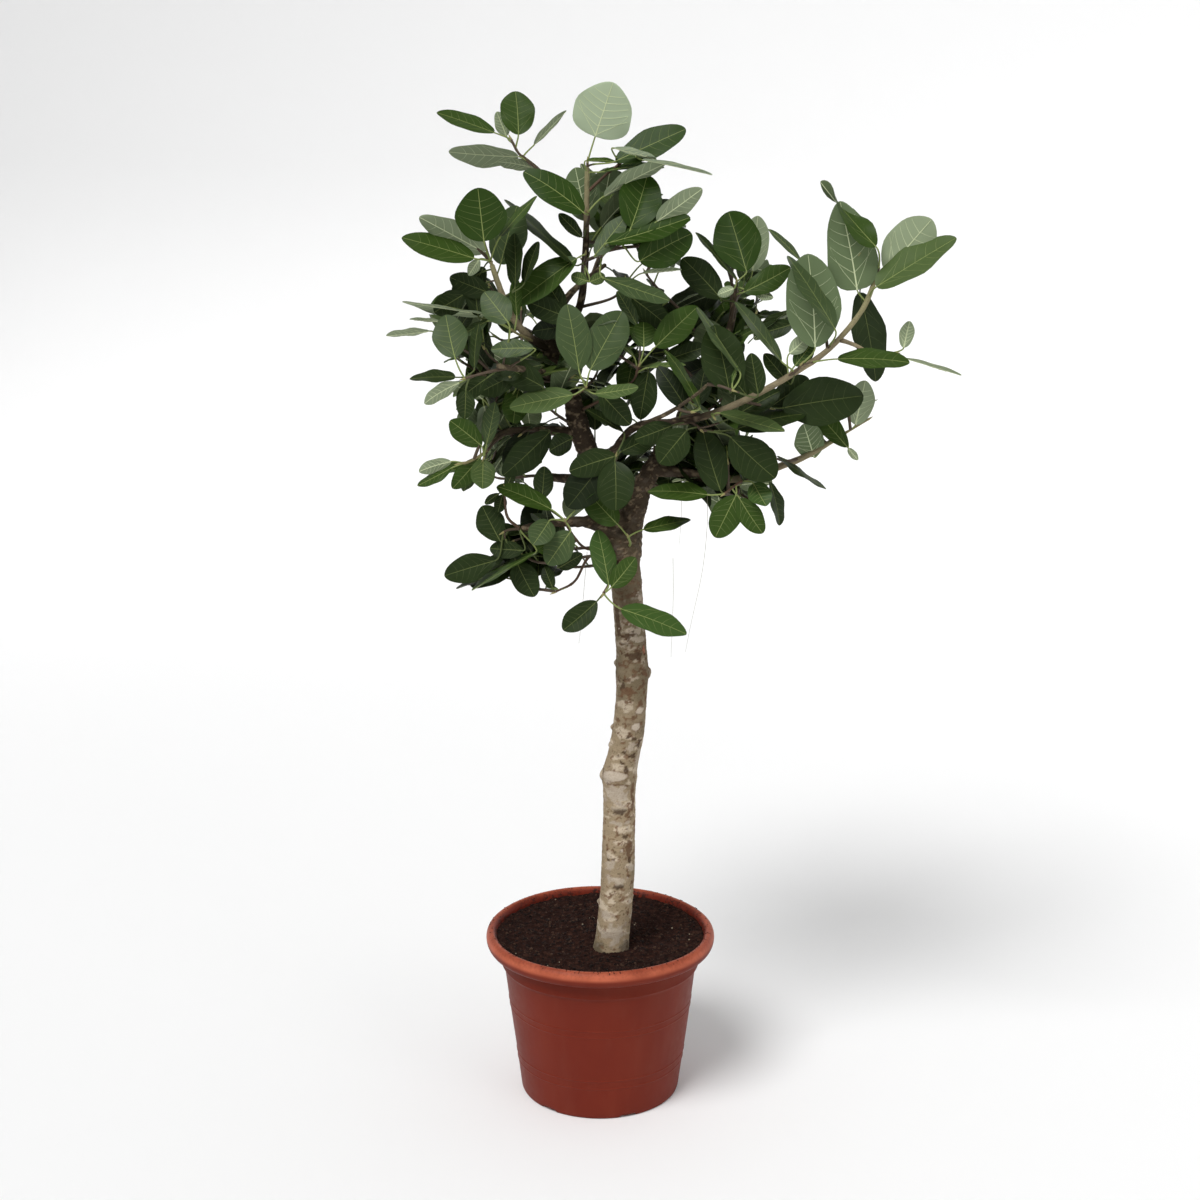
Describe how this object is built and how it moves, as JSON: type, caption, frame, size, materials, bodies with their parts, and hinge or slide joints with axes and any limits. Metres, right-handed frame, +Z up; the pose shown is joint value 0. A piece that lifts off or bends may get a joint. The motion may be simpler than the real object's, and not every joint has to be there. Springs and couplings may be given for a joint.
{
  "type": "potted banyan fig standard",
  "caption": "Tall indoor or patio fig tree: bare pale stem, open uneven crown of large oval leaves on forked boughs, in a round terracotta-coloured plastic pot with a rolled rim.",
  "frame": {"origin": "centre of the pot's flat underside", "axes": "+Z up along the stem, -Y towards the plant's front, +X to the right seen from the front"},
  "size_m": [1.0252, 0.695, 1.9396],
  "materials": {
    "pot_plastic": "satin",
    "peat": "matte",
    "bark": "matte",
    "foliage": "satin"
  },
  "bodies": {
    "root": {"pot": "pot_plastic", "soil": "peat", "trunk": "bark", "left_main_bough": "bark", "right_main_bough": "bark", "right_arm": "bark", "arm_outer_shoot": "bark", "low_left_bough": "bark", "mid_left_bough": "bark", "left_bough": "bark", "upper_left_bough": "bark", "leader": "bark", "top_left_shoot": "bark", "low_right_bough": "bark", "upper_right_bough": "bark", "low_front_shoot": "bark", "back_left_bough": "bark", "back_top_bough": "bark", "back_right_bough": "bark", "back_low_right_bough": "bark", "back_low_left_bough": "bark", "front_centre_shoot": "bark", "front_left_shoot": "bark", "foliage_top": "foliage", "foliage_leader": "foliage", "foliage_top_left": "foliage", "foliage_upper_left": "foliage", "foliage_left": "foliage", "foliage_mid_left": "foliage", "foliage_lower_left": "foliage", "foliage_low_front": "foliage", "foliage_centre_left": "foliage", "foliage_heart": "foliage", "foliage_centre": "foliage", "foliage_upper_right": "foliage", "foliage_arm_inner": "foliage", "foliage_arm_tip": "foliage", "foliage_arm_outer": "foliage", "foliage_low_right": "foliage", "foliage_low_right_tip": "foliage", "foliage_back_left": "foliage", "foliage_back_top": "foliage", "foliage_back_right": "foliage", "foliage_back_low_right": "foliage", "foliage_back_low_left": "foliage", "foliage_front_centre": "foliage", "foliage_front_left": "foliage"}
  },
  "joints": []
}
